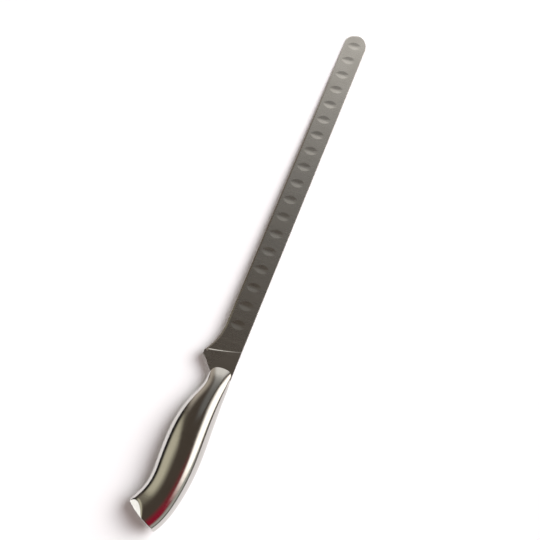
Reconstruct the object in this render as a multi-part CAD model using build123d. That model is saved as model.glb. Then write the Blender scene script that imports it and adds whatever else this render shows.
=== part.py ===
from build123d import *
from math import acos, atan2, cos, degrees, radians, sin, tan
import os

# Slicing knife with a long scalloped blade and a hollow steel handle.
# Lengths are millimetres and angles are degrees.
# Y runs along the knife towards the tip and is zero at the nose of the bolster.
# X runs across it, with the spine on the plus side and the cutting edge on the minus side.
# The blade's middle plane is Z = 0 until the last step, which lays the knife down on its side.

# Blade
blade_length = 318.4            # nose of the bolster to the tip
blade_width = 18.7
heel_thickness = 2.2            # unground steel behind the plunge line
spine_thickness = 2.04          # ground part, at the plunge line
edge_thickness = 1.1            # ground part, above the bevel, at the plunge line
distal_taper = 0.5              # thickness lost between the plunge line and the tip
spine_chamfer = 0.22

# Sharpened bevel along the cutting edge
bevel_angle = 19.0              # of each side
bevel_land = 0.12               # thickness left at the very edge
bevel_reach = 2.6               # how far in from the edge the stone can reach

# Heel: the chin below the cutting edge, and the plunge line where the grind starts
chin_drop = 7.15                # below the cutting edge
chin_front = 9.9                # ahead of the nose
chin_length = 4.3
chin_radius = 0.6
heel_radius = 42.0              # hollow curve from the cutting edge down to the chin
heel_corner_rise = 1.8          # short steep side behind the chin
heel_corner_run = 0.9
heel_back_angle = 40.3          # slope of the heel's rear side, which runs into the tang
plunge_foot = 8.6               # ahead of the nose, at the chin
plunge_top = 17.2               # ahead of the nose, at the spine
plunge_bow = 0.8                # towards the handle
plunge_angle = 30.0             # slope of the step

# Tip
tip_spine_length = 13.5         # from where the spine starts to curve down
tip_edge_length = 7.5           # the same on the cutting edge
tip_apex_drop = 1.2             # foremost point, below the blade's centre line

# Scallops ground into both faces, half a pitch apart from face to face
scallop_count = 18              # on the upper face
scallop_pitch = 16.0
first_scallop = 34.9            # ahead of the nose
scallop_length = 11.6           # across the blade
scallop_width = 6.2             # along the blade
scallop_depth = 0.26
scallop_valley_radius = 16.0    # rounds the bottom of the hollow
scallop_drop = 0.7              # towards the cutting edge

# Tang
shoulder_setback = 7.0          # behind the nose
tang_spine_side = 5.2           # from the blade's centre line
tang_length = 34.0              # behind the shoulder
tang_radius = 2.5
weld_gap = 0.05                 # between the blade and the bolster

# Handle
handle_length = 121.6           # nose to the butt's corner at the spine
handle_width = 29.3             # at the swell
handle_thickness = 20.6         # at the swell
handle_wall = 1.2
bolster_length = 16.0           # nose to the weld with the shells
bolster_lip = 4.0               # enters the shells behind the weld
lip_gap = 0.05
butt_slope = 30.0               # of the butt's end, from square
butt_bow = 1.0
butt_rounding = 0.9
facet_lean = 35.0               # of the facets on the butt's corner at the belly, from level
facet_turn = 23.0               # of their slope, from square across the knife towards the butt
facet_height = 6.3              # from the middle of the butt's end, square to the facet

# Sections of the handle, from the nose to the butt. Each row holds the section's place along the
# handle at the spine and at the belly, as shares of handle_length, then its reach from the blade's
# centre line to the spine and to the belly, as shares of handle_width, its thickness as a share of
# handle_thickness, and how far its crown is from the spine, as a share of its own width.
section_shares = [
    (-0.016, -0.016, 0.312, 0.212, 0.029, 0.50),
    (0.016, 0.016, 0.314, 0.224, 0.184, 0.50),
    (0.041, 0.041, 0.316, 0.240, 0.301, 0.49),
    (0.066, 0.066, 0.324, 0.247, 0.403, 0.48),
    (0.099, 0.099, 0.337, 0.253, 0.508, 0.47),
    (0.132, 0.132, 0.341, 0.283, 0.592, 0.46),
    (0.206, 0.206, 0.345, 0.403, 0.740, 0.44),
    (0.305, 0.305, 0.358, 0.529, 0.885, 0.42),
    (0.420, 0.420, 0.379, 0.597, 0.975, 0.42),
    (0.535, 0.530, 0.396, 0.604, 1.000, 0.42),
    (0.665, 0.632, 0.380, 0.584, 0.950, 0.42),
    (0.790, 0.716, 0.312, 0.573, 0.880, 0.42),
    (0.893, 0.800, 0.208, 0.641, 0.830, 0.42),
    (1.021, 0.922, -0.072, 0.815, 0.785, 0.42),
]
swell_share = 0.51              # where the handle is thickest, of handle_length
butt_width_share = 0.83         # length of the butt's end, of handle_width
butt_corner_share = 0.017       # the butt's corner at the spine, below the centre line, of handle_width

overrun = 5.0                   # how far a cut runs past what it cuts

half_width = blade_width / 2
half_heel = heel_thickness / 2
chin_depth = half_width + chin_drop
tip_spine = blade_length - tip_spine_length
tip_edge = blade_length - tip_edge_length
heel_end = chin_front + heel_radius * sin(acos(1 - chin_drop / heel_radius))
heel_back_lean = tan(radians(heel_back_angle))
heel_corner = (-chin_depth + heel_corner_rise, chin_front - chin_length - heel_corner_run)
tang_end = -shoulder_setback - tang_length
tang_belly_side = heel_corner[0] + (heel_corner[1] + shoulder_setback) * heel_back_lean
up = Vector(0, 0, 1)
forward = Vector(0, 1, 0)
butt_corner = Vector(-butt_corner_share * handle_width, -handle_length)
butt_line = Vector(-cos(radians(butt_slope)), sin(radians(butt_slope))) * butt_width_share * handle_width


def prism(face, low, high):
    # A solid with the face's outline, from one height to another
    return extrude(Pos(0, 0, low) * face, amount=high - low, dir=up)


def behind(place):
    # Everything behind a square cut across the knife, so far behind the nose
    room = 2 * handle_width
    block = Box(room, handle_length, room, align=(Align.CENTER, Align.MAX, Align.CENTER))
    return Pos(0, -place, 0) * block


def cutting_edge():
    # The sharp side seen from above, from the chin to the foremost point of the tip
    heel = RadiusArc((-chin_depth, chin_front), (-half_width, heel_end), -heel_radius)
    straight = Line((-half_width, heel_end), (-half_width, tip_edge))
    centre = (-tip_apex_drop, tip_edge)
    reach = half_width - tip_apex_drop
    tip = EllipticalCenterArc(centre, reach, tip_edge_length, 90, arc_size=90)
    return heel, straight, tip


def blade_outline():
    # The whole blade seen from above, with its tang
    centre = (-tip_apex_drop, tip_spine)
    reach = half_width + tip_apex_drop
    upper_tip = EllipticalCenterArc(centre, reach, tip_spine_length, 0, arc_size=90)
    spine = Polyline((tang_spine_side, tang_end), (tang_spine_side, -shoulder_setback),
                     (half_width, -shoulder_setback), (half_width, tip_spine))
    rear = Polyline((-chin_depth, chin_front), (-chin_depth, chin_front - chin_length),
                    heel_corner, (tang_belly_side, -shoulder_setback),
                    (tang_belly_side, tang_end), (tang_spine_side, tang_end))
    return make_face([*spine.edges(), upper_tip, *cutting_edge(), *rear.edges()])


def ground_plane(side):
    # The ground face above (side 1) or below (side -1) the middle plane, through three corners
    top = Vector(half_width, plunge_top, side * spine_thickness / 2)
    foot = Vector(-half_width, plunge_top, side * edge_thickness / 2)
    far = Vector(half_width, blade_length, side * (spine_thickness - distal_taper) / 2)
    normal = (far - top).cross(foot - top) * side
    return Plane(origin=top, x_dir=top - foot, z_dir=normal)


def plunge_face(shift):
    # Everything ahead of the bowed plunge line, seen from above, with the line moved forward
    top = (half_width + overrun, plunge_top + shift)
    foot = (-chin_depth - overrun, plunge_foot + shift)
    middle = ((top[0] + foot[0]) / 2, (top[1] + foot[1]) / 2 - plunge_bow)
    front = blade_length + 2 * overrun
    rest = Polyline(foot, (foot[0], front), (top[0], front), top)
    return make_face([ThreePointArc(top, middle, foot), *rest.edges()])


def grind_stock(side):
    # What the grinder takes off one side: above the ground face and ahead of the plunge line,
    # up to a step whose wall slopes forward as it goes down
    run = 1 / tan(radians(plunge_angle))
    low = plunge_face(half_heel * run)
    high = Pos(0, 0, side * (half_heel + overrun)) * plunge_face(-overrun * run)
    ahead = loft([low, high], ruled=True)
    aligned = (Align.CENTER, Align.CENTER, Align.MIN)
    above = Box(4 * blade_width, 2 * blade_length, 2 * overrun, align=aligned)
    return ahead & (ground_plane(side) * above)


def bevel_stock(side):
    # What the stone takes off along the cutting edge, on one side
    slope = tan(radians(bevel_angle))
    land = bevel_land / 2
    path = Wire(list(cutting_edge()))
    plane = Plane(origin=path @ 0, x_dir=(path % 0).cross(up), z_dir=path % 0)
    inward = 1 if plane.x_dir.X > 0 else -1
    rise = side if plane.y_dir.Z > 0 else -side
    outer = (-inward * overrun, rise * (land - overrun * slope))
    inner = (inward * bevel_reach, rise * (land + bevel_reach * slope))
    profile = Polyline(outer, inner, (inner[0], rise * overrun), (outer[0], rise * overrun), close=True)
    return sweep(plane * make_face(profile.edges()), path=path)


def scallop_wheel():
    # The wheel that grinds one hollow: its axis runs along X, and its rim touches the origin
    radius = scallop_length ** 2 / (8 * scallop_depth)
    slope = atan2(scallop_depth, scallop_width / 2)
    crest = scallop_valley_radius * sin(slope)
    crest_rise = scallop_valley_radius * (1 - cos(slope))
    reach = scallop_width / 2 + overrun
    reach_rise = crest_rise + (reach - crest) * tan(slope)
    rim = ThreePointArc((-crest, crest_rise), (0, 0), (crest, crest_rise))
    sides = Polyline((crest, crest_rise), (reach, reach_rise), (reach, radius),
                     (-reach, radius), (-reach, reach_rise), (-crest, crest_rise))
    return revolve(make_face([rim, *sides.edges()]), axis=Axis((0, radius, 0), (1, 0, 0)))


def scallop_places(side):
    # The lower face has one hollow fewer, each half way between two of the upper ones
    offset = 0 if side > 0 else scallop_pitch / 2
    count = scallop_count if side > 0 else scallop_count - 1
    return [first_scallop + offset + number * scallop_pitch for number in range(count)]


def scallop_stock(side):
    # All the hollows of one face, each sunk to its depth below the ground face
    plane = ground_plane(side)
    along = (forward - plane.z_dir * forward.dot(plane.z_dir)).normalized()
    wheel = scallop_wheel()
    wheels = []
    for place in scallop_places(side):
        above = Vector(-scallop_drop, place, side * overrun)
        height = (above - plane.origin).dot(plane.z_dir)
        rim = above - plane.z_dir * (height + scallop_depth)
        wheels.append(Plane(origin=rim, x_dir=along, z_dir=along.cross(plane.z_dir)) * wheel)
    return wheels


def make_blade():
    # Blanked from flat steel, its corners eased, then ground, sharpened and scalloped
    blade = prism(blade_outline(), -half_heel, half_heel)
    upright = blade.edges().filter_by(Axis.Z)
    blade = fillet(upright.filter_by(lambda edge: edge.center().Y < tang_end + tang_radius), tang_radius)
    upright = blade.edges().filter_by(Axis.Z)
    chin = upright.filter_by(lambda edge: edge.center().X < -chin_depth + chin_radius
                             and edge.center().Y < chin_front - chin_radius)
    blade = fillet(chin, chin_radius)
    for side in (1, -1):
        blade -= grind_stock(side)
    for side in (1, -1):
        blade -= bevel_stock(side)
    for side in (1, -1):
        blade -= scallop_stock(side)
    straight = blade.edges().filter_by(GeomType.LINE)
    spine = straight.filter_by(lambda edge: edge.center().X > half_width - weld_gap
                               and edge.length > blade_length / 2)
    return chamfer(spine, spine_chamfer)


def section(row, inset):
    # One egg-shaped cross-section of the handle, square to the middle plane and drawn in by a
    # wall: half an ellipse on each side of the crown, which lies nearer the spine
    spine_y, belly_y, spine_x, belly_x, thick, crown = row
    spine = Vector(spine_x * handle_width, -spine_y * handle_length)
    belly = Vector(-belly_x * handle_width, -belly_y * handle_length)
    across = spine - belly
    plane = Plane(origin=spine - across * crown, x_dir=across, z_dir=up.cross(across))
    height = thick * handle_thickness / 2 - inset
    to_spine = across.length * crown - inset
    to_belly = across.length * (1 - crown) - inset
    spine_half = EllipticalCenterArc((0, 0), to_spine, height, -90, arc_size=180)
    belly_half = EllipticalCenterArc((0, 0), to_belly, height, 90, arc_size=180)
    return plane * make_face([spine_half, belly_half])


def butt_face(inset):
    # Everything ahead of the butt's bowed end, seen from above
    outward = Vector(-butt_line.Y, butt_line.X).normalized()
    spine = butt_corner - outward * inset
    belly = spine + butt_line
    spread = butt_line / 2
    drawn_in = outward * butt_bow * 3
    far_spine = spine - spread - drawn_in
    far_belly = belly + spread - drawn_in
    end = ThreePointArc(far_spine, (spine + belly) / 2 + outward * butt_bow, far_belly)
    room = 2 * handle_width
    rest = Polyline(far_belly, (-room, handle_length), (room, handle_length), far_spine)
    return make_face([end, *rest.edges()])


def handle_form(inset):
    # The lofted handle, cut off by the butt. An inner form starts just ahead of the weld.
    ahead = handle_length if inset == 0 else overrun
    rows = [row for row in section_shares if row[0] * handle_length > bolster_length - ahead]
    form = loft([section(row, inset) for row in rows])
    return form & prism(butt_face(inset), -handle_width, handle_width)


def blade_pocket():
    # Room for the blade's rear end, open ahead of its shoulders, and a slot for its tang
    back = -shoulder_setback - weld_gap
    slot_end = -bolster_length - bolster_lip - overrun
    belly = tang_belly_side - weld_gap / cos(radians(heel_back_angle))
    spine = tang_spine_side + weld_gap
    open_side = half_width + overrun
    heel_side = belly - (overrun + shoulder_setback) * heel_back_lean
    outline = Polyline((spine, slot_end), (spine, back), (open_side, back), (open_side, overrun),
                       (heel_side, overrun), (belly, -shoulder_setback), (belly, slot_end), close=True)
    return prism(make_face(outline.edges()), -half_heel - weld_gap, half_heel + weld_gap)


def make_bolster():
    # The solid front of the handle, with a lip that centres the shells
    front = handle_form(0) - behind(bolster_length)
    lip = handle_form(handle_wall + lip_gap) & behind(bolster_length)
    lip -= behind(bolster_length + bolster_lip)
    return front + lip - blade_pocket()


def facet_stock(side, inset):
    # What is ground off the butt's corner at the belly, above or below the middle plane
    lean = radians(facet_lean)
    turn = radians(facet_turn)
    normal = Vector(-sin(lean) * cos(turn), -sin(lean) * sin(turn), side * cos(lean))
    middle = butt_corner + butt_line / 2
    aligned = (Align.CENTER, Align.CENTER, Align.MIN)
    block = Box(2 * handle_width, 2 * handle_width, handle_width, align=aligned)
    return Plane(origin=middle + normal * (facet_height - inset), z_dir=normal) * block


def make_shells():
    # Two pressed halves that meet on the middle plane and close the butt between them
    form = handle_form(0)
    end = form.faces().sort_by(Axis.Y).first
    form = fillet(end.edges(), butt_rounding) & behind(bolster_length)
    inside = handle_form(handle_wall)
    for side in (1, -1):
        form -= facet_stock(side, 0)
        inside -= facet_stock(side, handle_wall)
    tube = form - inside
    return split(tube, Plane.XY, Keep.TOP), split(tube, Plane.XY, Keep.BOTTOM)


upper_shell, lower_shell = make_shells()
pieces = {
    "blade": make_blade(),
    "bolster": make_bolster(),
    "upper_handle_shell": upper_shell,
    "lower_handle_shell": lower_shell,
}

# Lay the knife down, touching the table with the handle's swell and the tip, then centre it
drop = (handle_thickness - spine_thickness + distal_taper) / 2
tilt = degrees(atan2(drop, blade_length + swell_share * handle_length))
tilted = {name: Rot(X=-tilt) * piece.solid() for name, piece in pieces.items()}
box = Compound(list(tilted.values())).bounding_box()
lay = Pos(-box.center().X, -box.center().Y, -box.min.Z)

os.makedirs("parts", exist_ok=True)
for name, piece in tilted.items():
    laid = lay * piece
    laid.label = name
    export_step(laid, "parts/" + name + ".step")

# The spot where a magnetic rack holds the knife: half way along the ground face, by the spine
flat = ground_plane(1)
above = Vector(half_width / 2, blade_length / 2, overrun)
spot = above - flat.z_dir * (above - flat.origin).dot(flat.z_dir)
rack = lay * Rot(X=-tilt) * Pos(*spot)
print("tilt", tilt, "moved by", lay.position, "size", box.size)
print("rack face at", rack.position, "facing", flat.z_dir.rotate(Axis.X, -tilt))
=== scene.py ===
import math

import bpy
import numpy as np
from mathutils import Matrix, Vector


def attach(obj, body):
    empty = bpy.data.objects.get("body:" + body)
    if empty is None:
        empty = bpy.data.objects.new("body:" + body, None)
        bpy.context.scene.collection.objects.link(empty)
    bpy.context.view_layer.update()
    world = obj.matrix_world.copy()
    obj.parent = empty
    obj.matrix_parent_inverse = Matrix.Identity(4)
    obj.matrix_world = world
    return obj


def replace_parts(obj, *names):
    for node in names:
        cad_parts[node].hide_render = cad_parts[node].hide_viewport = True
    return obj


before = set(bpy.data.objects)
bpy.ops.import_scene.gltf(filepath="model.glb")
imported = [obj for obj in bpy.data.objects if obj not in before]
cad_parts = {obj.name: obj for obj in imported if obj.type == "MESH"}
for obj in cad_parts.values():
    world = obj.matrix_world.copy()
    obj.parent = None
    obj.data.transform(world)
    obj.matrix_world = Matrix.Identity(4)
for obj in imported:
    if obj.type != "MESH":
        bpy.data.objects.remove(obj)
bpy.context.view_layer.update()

mm = 0.001
white = (1, 1, 1, 1)

# Where the knife lies: its working frame starts at the nose of the bolster, with Y towards the tip,
# X towards the spine and Z square to the blade, and is tilted until handle and tip touch the table
knifePlace = {"tilt": 1.4350464, "nose": (5.82661, -98.4224, 8.80892)}
knifeFrame = Matrix.Translation(Vector(knifePlace["nose"]) * mm) @ Matrix.Rotation(
    math.radians(-knifePlace["tilt"]), 4, "X")


# Node trees are written as sums: a Sock is one output of a node

class Sock:
    def __init__(self, tree, socket):
        self.tree = tree
        self.socket = socket

    def math(self, operation, *others):
        return node(self.tree, "ShaderNodeMath", {"operation": operation}, [self, *others])

    def __add__(self, other):
        return self.math("ADD", other)

    def __radd__(self, other):
        return node(self.tree, "ShaderNodeMath", {"operation": "ADD"}, [other, self])

    def __sub__(self, other):
        return self.math("SUBTRACT", other)

    def __rsub__(self, other):
        return node(self.tree, "ShaderNodeMath", {"operation": "SUBTRACT"}, [other, self])

    def __mul__(self, other):
        return self.math("MULTIPLY", other)

    def __rmul__(self, other):
        return node(self.tree, "ShaderNodeMath", {"operation": "MULTIPLY"}, [other, self])

    def __truediv__(self, other):
        return self.math("DIVIDE", other)

    def __rtruediv__(self, other):
        return node(self.tree, "ShaderNodeMath", {"operation": "DIVIDE"}, [other, self])


def node(tree, kind, settings=None, inputs=None, output=0):
    made = tree.nodes.new(kind)
    for name, value in (settings or {}).items():
        if name == "stops":
            elements = made.color_ramp.elements
            while len(elements) < len(value):
                elements.new(0.5)
            for element, (place, colour) in zip(elements, value):
                element.position = place
                element.color = colour
        else:
            setattr(made, name, value)
    for key, value in (inputs.items() if isinstance(inputs, dict) else enumerate(inputs or [])):
        if isinstance(value, Sock):
            tree.links.new(value.socket, made.inputs[key])
        else:
            made.inputs[key].default_value = value
    return Sock(tree, made.outputs[output]) if len(made.outputs) else made


def ramp(value, low, high):
    # 0 below low, 1 above high, eased between them
    return node(value.tree, "ShaderNodeMapRange", {"interpolation_type": "SMOOTHSTEP"},
                {"Value": value, "From Min": low, "From Max": high})


def stretch(value, limits):
    # 1 between the two middle limits, eased to 0 at the outer ones
    return ramp(value, limits[0], limits[1]) * (1 - ramp(value, limits[2], limits[3]))


def mixColour(factor, first, second):
    # A Mix node takes its colours at sockets 6 and 7 and gives their mixture at 2
    return node(factor.tree, "ShaderNodeMix", {"data_type": "RGBA"},
                {0: factor, 6: first, 7: second}, 2)


def vectorParts(vector):
    made = node(vector.tree, "ShaderNodeSeparateXYZ", None, [vector]).socket.node
    return [Sock(vector.tree, part) for part in made.outputs]


def towards(turn, height):
    # The direction that is turned from the spine side towards the tip and then raised, in degrees
    turn = math.radians(turn)
    height = math.radians(height)
    level = math.cos(height)
    return Vector((math.cos(turn) * level, math.sin(turn) * level, math.sin(height)))


# The camera stands where the photograph was taken from, worked out on the blade's own plane

cameraPlace = {
    "across": 114.12, "along": -210.53, "up": 634.24,  # mm, in the working frame
    "turn": 20.21, "dip": 63.60,  # degrees
    "lens": 63.33, "sensor": 36, "nearest": 0.01,  # mm, mm and metres
}


def addCamera():
    look = towards(90 + cameraPlace["turn"], -cameraPlace["dip"])
    right = towards(cameraPlace["turn"], 0)
    upward = right.cross(look)
    turned = Matrix((right, upward, -look)).transposed().to_4x4()
    place = Vector((cameraPlace["across"], cameraPlace["along"], cameraPlace["up"])) * mm
    data = bpy.data.cameras.new("camera")
    data.lens = cameraPlace["lens"]
    data.sensor_width = cameraPlace["sensor"]
    data.clip_start = cameraPlace["nearest"]
    camera = bpy.data.objects.new("camera", data)
    bpy.context.scene.collection.objects.link(camera)
    camera.matrix_world = knifeFrame @ Matrix.Translation(place) @ turned
    bpy.context.scene.camera = camera
    print("camera at", [round(v, 4) for v in camera.location])


# The studio: a white table, a tall white panel on the spine side, a sweep beyond the tip that dims
# with its height, tan, green and black cards on the side of the cutting edge, a white one by the
# butt, something red behind the camera and a dark room above. The camera sees white all round, and
# the metal mirrors the studio. Limits are in degrees, turned from the spine side towards the tip or
# raised: four are gone, full, full and gone again, and two are an edge that fades

studio = {
    "ceiling": (0.080, 0.063, 0.049, 1),
    "panelLight": (2.1, 1.98, 1.82, 1), "panelTurn": (-8, 14, 52, 70), "panelTop": (43, 58),
    "panelFoot": (25, 33), "panelFootSlope": 0.6, "panelBase": (0, 4),
    "sideCard": (0.46, 0.46, 0.42, 1), "sideTurn": (-75, -35, 8, 30), "sideRise": (6, 13, 22, 40),
    "tanCard": (0.52, 0.46, 0.39, 1), "tanTurn": (108, 122, 144, 153), "tanTop": (18, 42),
    "greenCard": (0.62, 0.58, 0.44, 1), "greenTurn": (150, 158, 204, 216),
    "greenRise": (14, 29, 43, 68),
    "blackCard": (0.012, 0.011, 0.010, 1), "blackTurn": (148, 158, 176, 184), "blackTop": (13, 21),
    "redLight": (0.30, 0.012, 0.034, 1), "redTurn": -27, "redHeight": 47, "redReach": (8, 40),
    "rearCard": (1.6, 1.6, 1.55, 1), "rearTurn": (184, 190, 215, 228), "rearRise": (-2, 2, 17, 23),
    "seam": -90,  # where the turns of the cards behind start, so that they can pass 180
}


def addStudioWorld():
    world = bpy.data.worlds.new("studio")
    world.use_nodes = True
    tree = world.node_tree
    tree.nodes.clear()
    direction = node(tree, "ShaderNodeTexCoord", output="Generated")
    x, y, z = vectorParts(direction)
    toDegrees = 180 / math.pi
    height = z.math("ARCSINE") * toDegrees
    turn = y.math("ARCTAN2", x) * toDegrees
    backTurn = turn.math("WRAP", studio["seam"] + 360, studio["seam"])
    red = towards(studio["redTurn"], studio["redHeight"])
    nearRed = node(tree, "ShaderNodeVectorMath", {"operation": "DOT_PRODUCT"}, [direction, red], 1)
    offRed = nearRed.math("ARCCOSINE") * toDegrees
    panel = stretch(turn, studio["panelTurn"]) * (1 - ramp(height, *studio["panelTop"]))
    panel = panel * ramp(height + turn * studio["panelFootSlope"], *studio["panelFoot"])
    panel = panel * ramp(height, *studio["panelBase"])
    masks = {
        "tanCard": stretch(backTurn, studio["tanTurn"]) * (1 - ramp(height, *studio["tanTop"])),
        "blackCard": (stretch(backTurn, studio["blackTurn"])
                      * (1 - ramp(height, *studio["blackTop"]))),
        "greenCard": stretch(backTurn, studio["greenTurn"]) * stretch(height, studio["greenRise"]),
        "rearCard": stretch(backTurn, studio["rearTurn"]) * stretch(height, studio["rearRise"]),
        "redLight": 1 - ramp(offRed, *studio["redReach"]),
        "sideCard": stretch(turn, studio["sideTurn"]) * stretch(height, studio["sideRise"]),
        "panelLight": panel,
    }
    colour = studio["ceiling"]
    for name, mask in masks.items():
        colour = mixColour(mask, colour, studio[name])
    seen = node(tree, "ShaderNodeLightPath", output="Is Camera Ray")
    colour = mixColour(seen, colour, white)
    background = node(tree, "ShaderNodeBackground", None, {"Color": colour, "Strength": 1.0})
    node(tree, "ShaderNodeOutputWorld", None, [background])
    bpy.context.scene.world = world
    print("studio world ready")


def stagePlane(name, corners, material):
    mesh = bpy.data.meshes.new(name)
    mesh.from_pydata(corners, [], [(0, 1, 2, 3)])
    mesh.materials.append(material)
    plane = bpy.data.objects.new(name, mesh)
    bpy.context.scene.collection.objects.link(plane)
    return plane


def emptyMaterial(name):
    material = bpy.data.materials.new(name)
    material.use_nodes = True
    material.node_tree.nodes.clear()
    return material, material.node_tree


floorWhite = {"size": 6.0, "paint": (0.88, 0.88, 0.88, 1), "lift": (0.055, 0.045, 0.053, 1)}


def addFloor():
    # The lift brings the lit table to white for the camera and in the metal, and its shadow stays
    material, tree = emptyMaterial("floorWhite")
    seen = node(tree, "ShaderNodeLightPath", output="Is Camera Ray")
    seen = seen.math("MAXIMUM", node(tree, "ShaderNodeLightPath", output="Is Glossy Ray"))
    diffuse = node(tree, "ShaderNodeBsdfDiffuse", None, {"Color": floorWhite["paint"]})
    lift = node(tree, "ShaderNodeEmission", None, {"Color": floorWhite["lift"], "Strength": seen})
    both = node(tree, "ShaderNodeAddShader", None, [diffuse, lift])
    node(tree, "ShaderNodeOutputMaterial", None, [both])
    half = floorWhite["size"] / 2
    corners = [(-half, -half, 0), (half, -half, 0), (half, half, 0), (-half, half, 0)]
    stagePlane("floor", corners, material)
    print("floor ready")


# The sweep stands beyond the tip, hidden from the camera and without a shadow. Sizes are metres,
# and the steps are a height and its light
sweep = {
    "distance": 0.60, "left": -0.55, "right": 0.26, "fade": (0.30, 0.16), "height": 1.6,
    "tint": (1.0, 0.97, 0.92),
    "steps": ((0.0, 1.15), (0.40, 0.93), (0.55, 0.51), (0.69, 0.34), (0.85, 0.23), (1.05, 0.19),
              (1.6, 0.16)),
}


def addSweep():
    material, tree = emptyMaterial("sweepWhite")
    across, up = vectorParts(node(tree, "ShaderNodeTexCoord", output="Object"))[::2]
    stops = [(high / sweep["height"], (*[light * part for part in sweep["tint"]], 1))
             for high, light in sweep["steps"]]
    dim = node(tree, "ShaderNodeValToRGB", {"stops": stops}, [up / sweep["height"]])
    glow = node(tree, "ShaderNodeEmission", None, {"Color": dim})
    clear = node(tree, "ShaderNodeBsdfTransparent")
    left, right = sweep["left"], sweep["right"]
    mask = stretch(across, (left, left + sweep["fade"][0], right - sweep["fade"][1], right))
    shader = node(tree, "ShaderNodeMixShader", None, [mask, clear, glow])
    node(tree, "ShaderNodeOutputMaterial", None, [shader])
    away, top = sweep["distance"], sweep["height"]
    corners = [(right, away, 0), (left, away, 0), (left, away, top), (right, away, top)]
    plane = stagePlane("sweep", corners, material)
    plane.visible_camera = False
    plane.visible_shadow = False
    print("sweep ready")


keyLamp = {"turn": 22.0, "height": 48.0, "softness": 44.0, "power": 3.3,
           "colour": (0.97, 0.99, 1.03)}


def addKeyLamp():
    # The panel's light on the table. The metal mirrors the world's panel and doesn't see this
    away = towards(keyLamp["turn"], keyLamp["height"])
    data = bpy.data.lights.new("keyLamp", "SUN")
    data.energy = keyLamp["power"]
    data.color = keyLamp["colour"]
    data.angle = math.radians(keyLamp["softness"])
    lamp = bpy.data.objects.new("keyLamp", data)
    bpy.context.scene.collection.objects.link(lamp)
    lamp.rotation_euler = away.to_track_quat("Z", "Y").to_euler()
    lamp.visible_glossy = False
    print("key lamp ready")


# Finishes. Both steels are ground across the knife, so their grain is long in X and fine in Y.
# The patterns' scales are for X, Y and Z in metres, and depth is the grain's relief in metres

bladeLook = {
    "colour": (0.60, 0.585, 0.56, 1), "shade": (0.50, 0.485, 0.455, 1), "roughness": (0.22, 0.33),
    "grain": (110, 2600, 300), "coarse": (25, 420, 100), "clouds": (55, 30, 55), "depth": 0.000006,
    "edgeAt": -0.0021, "edgeStart": -0.068, "edgeFade": 0.004,  # the sharpened edge, in X and in Y
    "edgeRoughness": 0.16,
}
handleLook = {
    "colour": (0.66, 0.65, 0.63, 1), "shade": (0.57, 0.56, 0.53, 1), "roughness": (0.085, 0.16),
    "grain": (60, 1300, 60), "coarse": (16, 520, 16), "clouds": (40, 24, 40), "depth": 0.000006,
}
grinding = {
    "details": {"grain": 3.0, "coarse": 2.0, "clouds": 3.0}, "noiseRoughness": 0.62,
    "coarseLimits": (0.35, 0.7), "cloudLimits": (0.38, 0.68),
    "grainShare": 0.4, "coarseShare": 0.35, "cloudShare": 0.35,  # of the roughness
    "cloudShade": 0.45, "grainShade": 0.3, "coarseRelief": 0.8, "reliefStrength": 0.6,
}


def groundSteel(name, look):
    material, tree = emptyMaterial(name)
    place = node(tree, "ShaderNodeTexCoord", output="Object")

    def pattern(kind):
        stretched = node(tree, "ShaderNodeVectorMath", {"operation": "MULTIPLY"},
                         [place, look[kind]])
        return node(tree, "ShaderNodeTexNoise", None, {
            "Vector": stretched, "Scale": 1.0, "Detail": grinding["details"][kind],
            "Roughness": grinding["noiseRoughness"]})

    grain = pattern("grain")
    coarse = ramp(pattern("coarse"), *grinding["coarseLimits"])
    clouds = ramp(pattern("clouds"), *grinding["cloudLimits"])
    low, high = look["roughness"]
    worn = grinding["grainShare"] * grain + grinding["coarseShare"] * coarse
    worn = worn + grinding["cloudShare"] * clouds
    rough = low + (high - low) * worn
    if "edgeAt" in look:
        across, along = vectorParts(place)[:2]
        sharpened = ramp(along, look["edgeStart"], look["edgeStart"] + look["edgeFade"])
        sharpened = sharpened * across.math("LESS_THAN", look["edgeAt"])
        rough = rough + sharpened * (look["edgeRoughness"] - rough)
    shading = clouds * grinding["cloudShade"] + grain * grinding["grainShade"]
    colour = mixColour(shading, look["colour"], look["shade"])
    relief = node(tree, "ShaderNodeBump", None, {
        "Strength": grinding["reliefStrength"], "Distance": look["depth"],
        "Height": grain + coarse * grinding["coarseRelief"]})
    shader = node(tree, "ShaderNodeBsdfPrincipled", None,
                  {"Base Color": colour, "Metallic": 1.0, "Roughness": rough, "Normal": relief})
    node(tree, "ShaderNodeOutputMaterial", None, [shader])
    return material


# The handle: sections along its length, lofted by Geometry Nodes. Sizes are millimetres and degrees

handle = {
    "length": 121.6, "width": 29.3, "thickness": 20.6, "wall": 1.2,
    "weld": 16.0, "lip": 4.0, "lipGap": 0.05,
    "buttSlope": 30.0, "buttBow": 1.0, "buttWidth": 24.32, "buttCorner": 0.498,
    "buttRounding": 0.9, "innerRounding": 0.15,
    "facetLean": 35.0, "facetTurn": 23.0, "facetHeight": 6.3,
    "facetSoftness": 0.35, "innerSoftness": 0.05,
    "stations": 900, "rings": 170, "columns": 97, "noseRows": 60, "lipRows": 8,
    "rimSteps": 7, "endSteps": 12, "rimWeight": 1.414,
    "thickWeight": 1.4,  # what a change of thickness counts for in the spacing of the sections
    "gather": 0.14,  # how far the columns are drawn to the spine and the belly
    "sharpAngle": 35.0,
}
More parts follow.
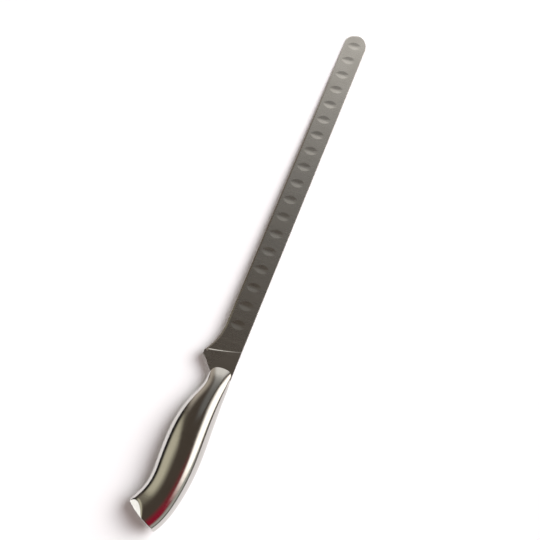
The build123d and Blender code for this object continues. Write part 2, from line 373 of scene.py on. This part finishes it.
# Each section: its place at the spine and at the belly, in lengths; its reach to the spine and to
# the belly, in widths; its thickness, in thicknesses; and its crown's distance from the spine, as a
# share of the section's own width
handleSections = (
    (-0.016, -0.016, 0.312, 0.212, 0.029, 0.50),
    (0.016, 0.016, 0.314, 0.224, 0.184, 0.50),
    (0.041, 0.041, 0.316, 0.240, 0.301, 0.49),
    (0.066, 0.066, 0.324, 0.247, 0.403, 0.48),
    (0.099, 0.099, 0.337, 0.253, 0.508, 0.47),
    (0.132, 0.132, 0.341, 0.283, 0.592, 0.46),
    (0.206, 0.206, 0.345, 0.403, 0.740, 0.44),
    (0.305, 0.305, 0.358, 0.529, 0.885, 0.42),
    (0.420, 0.420, 0.379, 0.597, 0.975, 0.42),
    (0.535, 0.530, 0.396, 0.604, 1.000, 0.42),
    (0.665, 0.632, 0.380, 0.584, 0.950, 0.42),
    (0.790, 0.716, 0.312, 0.573, 0.880, 0.42),
    (0.893, 0.800, 0.208, 0.641, 0.830, 0.42),
    (0.949, 0.852, 0.1145, 0.738, 0.808, 0.42),
    (1.021, 0.922, -0.072, 0.815, 0.785, 0.42),
)


def smoothed(knots, values, places):
    # A cubic spline through the values at the knots, with an even end curve, read at the places
    steps = np.diff(knots)
    slopes = np.diff(values, axis=0) / steps[:, None]
    system = np.diag(np.concatenate(([1], 2 * (steps[:-1] + steps[1:]), [1])))
    system += np.diag(np.concatenate(([0], steps[1:])), 1)
    system += np.diag(np.concatenate((steps[:-1], [0])), -1)
    system[0, :3] = (steps[1], -steps[0] - steps[1], steps[0])
    system[-1, -3:] = (steps[-1], -steps[-2] - steps[-1], steps[-2])
    turns = np.zeros_like(values)
    turns[1:-1] = 6 * np.diff(slopes, axis=0)
    bends = np.linalg.solve(system, turns)
    span = np.clip(np.searchsorted(knots, places) - 1, 0, len(steps) - 1)
    step = steps[span][:, None]
    after = (places - knots[span])[:, None]
    before = step - after
    curve = (bends[span] * before ** 3 + bends[span + 1] * after ** 3) / (6 * step)
    curve += (values[span] / step - bends[span] * step / 6) * before
    return curve + (values[span + 1] / step - bends[span + 1] * step / 6) * after


def handleStations():
    # Finely spaced stations: spine x and y, belly x and y, half thickness, and the crown's share
    long, wide, thick = handle["length"], handle["width"], handle["thickness"] / 2
    rows = np.array([
        (toSpine * wide, -spineAt * long, -toBelly * wide, -bellyAt * long, deep * thick, crown)
        for spineAt, bellyAt, toSpine, toBelly, deep, crown in handleSections])
    weights = (1, 1, 1, 1, handle["thickWeight"])
    moves = np.linalg.norm(np.diff(rows[:, :5], axis=0) * weights, axis=1)
    knots = np.concatenate(([0], np.cumsum(moves)))
    return smoothed(knots, rows, np.linspace(0, knots[-1], handle["stations"]))


def loftTree():
    tree = bpy.data.node_groups.new("sectionLoft", "GeometryNodeTree")
    tree.interface.new_socket("Sections", in_out="INPUT", socket_type="NodeSocketGeometry")
    for name, kind in (("Columns", "Int"), ("Sweep", "Float"), ("Gather", "Float"),
                       ("Inset", "Float"), ("Finish", "Material")):
        tree.interface.new_socket(name, in_out="INPUT", socket_type="NodeSocket" + kind)
    tree.interface.new_socket("Mesh", in_out="OUTPUT", socket_type="NodeSocketGeometry")
    entry = node(tree, "NodeGroupInput").socket.node
    sections, columns, sweepTurn, gather, inset, finish = (
        Sock(tree, part) for part in entry.outputs[:6])
    count = node(tree, "GeometryNodeAttributeDomainSize", {"component": "MESH"},
                 {"Geometry": sections})
    grid = node(tree, "GeometryNodeMeshGrid", None, {"Vertices X": count, "Vertices Y": columns})
    index = node(tree, "GeometryNodeInputIndex")
    station = ((index + 0.5) / columns).math("FLOOR")
    share = (index - station * columns) / (columns - 1)
    halves = (sweepTurn / math.pi).math("ABSOLUTE")  # 1 for a shell, 2 for the whole way round
    drawn = gather * (share * halves * 2 * math.pi).math("SINE") / halves
    turn = sweepTurn * (share - drawn)

    def sampled(kind, value):
        return node(tree, "GeometryNodeSampleIndex", {"data_type": kind, "domain": "POINT"},
                    {"Geometry": sections, "Value": value, "Index": station})

    def named(kind, name):
        value = node(tree, "GeometryNodeInputNamedAttribute", {"data_type": kind}, {"Name": name})
        return sampled(kind, value)

    def vectorMath(operation, inputs, output=0):
        return node(tree, "ShaderNodeVectorMath", {"operation": operation}, inputs, output)

    spine = sampled("FLOAT_VECTOR", node(tree, "GeometryNodeInputPosition"))
    belly = named("FLOAT_VECTOR", "belly")
    height = named("FLOAT", "halfThickness") - inset
    crown = named("FLOAT", "crown")
    across = vectorMath("SUBTRACT", [spine, belly])
    width = vectorMath("LENGTH", [across], 1)
    toSpine = turn.math("COSINE")
    ahead = toSpine.math("GREATER_THAN", 0.0)
    reach = width * (ahead * crown + (1 - ahead) * (1 - crown)) - inset
    middle = vectorMath("SUBTRACT", [spine, vectorMath("SCALE", {0: across, "Scale": crown})])
    aside = vectorMath("SCALE", {0: vectorMath("NORMALIZE", [across]), "Scale": toSpine * reach})
    raised = node(tree, "ShaderNodeCombineXYZ", None, {"Z": turn.math("SINE") * height})
    place = vectorMath("ADD", [vectorMath("ADD", [middle, aside]), raised])
    formed = node(tree, "GeometryNodeSetPosition", None, {"Geometry": grid, "Position": place})
    whole = node(tree, "GeometryNodeRealizeInstances", None, [formed])
    painted = node(tree, "GeometryNodeSetMaterial", None, {"Geometry": whole, "Material": finish})
    node(tree, "NodeGroupOutput", None, [painted])
    return tree


def loftSections(tree, stations, columns, turn, inset, finish):
    # The lofted skin as an array of points, by station and by column
    mesh = bpy.data.meshes.new("sections")
    edges = [(before, before + 1) for before in range(len(stations) - 1)]
    mesh.from_pydata([(row[0], row[1], 0) for row in stations], edges, [])
    belly = mesh.attributes.new("belly", "FLOAT_VECTOR", "POINT")
    belly.data.foreach_set("vector", np.array([(row[2], row[3], 0) for row in stations]).ravel())
    for name, column in (("halfThickness", 4), ("crown", 5)):
        attribute = mesh.attributes.new(name, "FLOAT", "POINT")
        attribute.data.foreach_set("value", stations[:, column].copy())
    guide = bpy.data.objects.new("sections", mesh)
    bpy.context.scene.collection.objects.link(guide)
    modifier = guide.modifiers.new("loft", "NODES")
    modifier.node_group = tree
    values = {"Columns": columns, "Sweep": turn, "Gather": handle["gather"], "Inset": inset,
              "Finish": finish}
    for item in tree.interface.items_tree:
        if item.name in values:
            modifier[item.identifier] = values[item.name]
    bpy.context.view_layer.update()
    depsgraph = bpy.context.evaluated_depsgraph_get()
    shaped = bpy.data.meshes.new_from_object(guide.evaluated_get(depsgraph))
    points = np.empty(len(shaped.vertices) * 3)
    shaped.vertices.foreach_get("co", points)
    bpy.data.objects.remove(guide)
    bpy.data.meshes.remove(shaped)
    return points.reshape(len(stations), columns, 3)


def readAlong(skin, places):
    # The skin's points at fractional station numbers, one for each column
    low = np.clip(np.floor(places).astype(int), 0, len(skin) - 2)
    part = (places - low)[:, None]
    column = np.arange(skin.shape[1])
    return skin[low, column] * (1 - part) + skin[low + 1, column] * part


def buttFrame():
    # The butt's end: its corner at the spine, the way along it to the belly, and the way out
    slope = math.radians(handle["buttSlope"])
    along = np.array((-math.cos(slope), math.sin(slope), 0))
    outward = np.array((-math.sin(slope), -math.cos(slope), 0))
    corner = np.array((-handle["buttCorner"], -handle["length"], 0))
    return corner, along, outward


def bowAt(across):
    # How far the end bulges at a place along it
    return handle["buttBow"] * (1 - (2 * across / handle["buttWidth"] - 1) ** 2)


def closeButt(skin, first, inset, rounding):
    # Rows of points from the weld to the butt, over its rounded rim and in to the middle of its end
    corner, along, outward = buttFrame()
    beyond = (skin - corner) @ outward - bowAt((skin - corner) @ along) + inset
    crossed = np.argmax(beyond > 0, axis=0)
    column = np.arange(skin.shape[1])
    before = beyond[crossed - 1, column]
    end = crossed - 1 - before / (beyond[crossed, column] - before)
    edge = readAlong(skin, end)
    spacing = np.linalg.norm(readAlong(skin, end) - readAlong(skin, end - 1), axis=1)
    across, up = (edge - corner) @ along, edge[:, 2]
    centre = (across[0] + across[-1]) / 2

    def onEnd(share):
        wide = centre + (across - centre) * share
        base = corner + np.outer(wide, along) + np.outer(bowAt(wide) - inset, outward)
        return base + np.outer(up * share, (0, 0, 1))

    radius = np.hypot(across - centre, up)
    back = rounding / spacing
    rows = [readAlong(skin, first + (end - back - first) * step / handle["rings"])
            for step in range(handle["rings"] + 1)]
    start = rows[-1]
    stop = onEnd(1 - rounding / radius)
    for step in range(1, handle["rimSteps"]):
        part = step / handle["rimSteps"]
        weights = np.array(((1 - part) ** 2, handle["rimWeight"] * part * (1 - part), part ** 2))
        rows.append((weights[0] * start + weights[1] * edge + weights[2] * stop) / weights.sum())
    for share in np.linspace(1, 0, handle["endSteps"])[:-1]:
        rows.append(onEnd((1 - rounding / radius) * share))
    return np.array(rows), onEnd(0)[0]


def grindFacet(points, side, inset, softness):
    # The butt's corner at the belly is ground off on a slope, with a soft edge
    lean = math.radians(handle["facetLean"])
    turn = math.radians(handle["facetTurn"])
    level = math.sin(lean)
    normal = np.array((-level * math.cos(turn), -level * math.sin(turn), side * math.cos(lean)))
    corner, along = buttFrame()[:2]
    middle = corner + along * handle["buttWidth"] / 2
    proud = (points - middle) @ normal - handle["facetHeight"] + inset
    near = np.maximum(softness - np.abs(proud), 0) / softness
    wanted = np.minimum(proud, 0) - near ** 2 * softness / 4
    return points + (wanted - proud)[..., None] * normal


def gridFaces(rows, columns, start, flip, wrap=False):
    # Faces between rows of points, whose ends meet where they wrap
    faces = []
    for row in range(rows - 1):
        for column in range(columns if wrap else columns - 1):
            after = (column + 1) % columns
            face = (start + row * columns + column, start + row * columns + after,
                    start + (row + 1) * columns + after, start + (row + 1) * columns + column)
            faces.append(face[::-1] if flip else face)
    return faces


def fanFaces(ring, tip, flip, wrap=False):
    # Faces from a row of points to one point
    pairs = list(zip(ring, ring[1:] + ring[:1]))
    if not wrap:
        pairs = pairs[:-1]
    return [(after, before, tip) if flip else (before, after, tip) for before, after in pairs]


def finishedPiece(name, points, faces, material):
    mesh = bpy.data.meshes.new(name)
    mesh.from_pydata([tuple(point) for point in points], [], faces)
    mesh.transform(knifeFrame @ Matrix.Scale(mm, 4))
    mesh.shade_smooth()
    mesh.set_sharp_from_angle(angle=math.radians(handle["sharpAngle"]))
    mesh.materials.append(material)
    mesh.validate()
    piece = bpy.data.objects.new(name, mesh)
    bpy.context.scene.collection.objects.link(piece)
    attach(piece, "root")
    print(name, len(mesh.polygons), "faces")
    return piece


def addShell(name, tree, stations, weld, side, material):
    # One pressed half of the handle. Its outer and inner skins meet along the spine, the weld and
    # the belly
    walls = []
    for inset, rounding, softness in (
            (0.0, handle["buttRounding"], handle["facetSoftness"]),
            (handle["wall"], handle["innerRounding"], handle["innerSoftness"])):
        skin = loftSections(tree, stations, handle["columns"], side * math.pi, inset, material)
        rows, centre = closeButt(skin, weld, inset, rounding)
        walls.append([grindFacet(part, side, inset, softness) for part in (rows, centre)])
    rows, columns = walls[0][0].shape[:2]
    size = rows * columns + 1
    points = np.concatenate([part.reshape(-1, 3) for wall in walls for part in wall])
    faces = []
    for number in (0, 1):
        flip = (side < 0) == (number == 0)
        start = number * size
        faces += gridFaces(rows, columns, start, flip)
        ring = list(range(start + (rows - 1) * columns, start + rows * columns))
        faces += fanFaces(ring, start + size - 1, flip)
    spine = [row * columns for row in range(rows)] + [size - 1]
    belly = [row * columns + columns - 1 for row in range(rows)] + [size - 1]
    rim = spine[::-1] + list(range(1, columns)) + belly[1:]
    for before, after in zip(rim, rim[1:]):
        face = (before, after, after + size, before + size)
        faces.append(face if side < 0 else face[::-1])
    return finishedPiece(name, points, faces, material)


def addBolster(name, tree, stations, weld, material):
    # The solid nose of the handle, with the lip that centres the shells. The blade would fill its
    # slot, so it has none here. The loft's last column lies on its first and is left off
    columns = 2 * handle["columns"] - 2
    around = 2 * math.pi
    lipInset = handle["wall"] + handle["lipGap"]
    outer = loftSections(tree, stations, columns + 1, around, 0.0, material)[:, :-1]
    inner = loftSections(tree, stations, columns + 1, around, lipInset, material)[:, :-1]
    lipEnd = np.interp(handle["weld"] + handle["lip"], -stations[:, 1], np.arange(len(stations)))
    rows = [readAlong(outer, np.full(columns, place))
            for place in np.linspace(0, weld, handle["noseRows"])]
    rows += [readAlong(inner, np.full(columns, place))
             for place in np.linspace(weld, lipEnd, handle["lipRows"])]
    points = np.array(rows)
    tips = [points[0].mean(axis=0), points[-1].mean(axis=0)]
    faces = gridFaces(len(rows), columns, 0, False, True)
    last = len(rows) * columns
    faces += fanFaces(list(range(columns)), last, True, True)
    faces += fanFaces(list(range(last - columns, last)), last + 1, False, True)
    return finishedPiece(name, np.concatenate([points.reshape(-1, 3), tips]), faces, material)


def addHandle(material):
    tree = loftTree()
    stations = handleStations()
    weld = float(np.interp(handle["weld"], -stations[:, 1], np.arange(len(stations))))
    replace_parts(addShell("upperShell", tree, stations, weld, 1, material), "upper_handle_shell")
    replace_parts(addShell("lowerShell", tree, stations, weld, -1, material), "lower_handle_shell")
    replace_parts(addBolster("bolsterNose", tree, stations, weld, material), "bolster")


addCamera()
addStudioWorld()
addFloor()
addSweep()
addKeyLamp()
bladeSteel = groundSteel("bladeSteel", bladeLook)
handleSteel = groundSteel("handleSteel", handleLook)
print("finishes ready")
for name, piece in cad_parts.items():
    piece.data.materials.clear()
    piece.data.materials.append(bladeSteel if name == "blade" else handleSteel)
addHandle(handleSteel)

bpy.context.scene.view_settings.view_transform = "Standard"
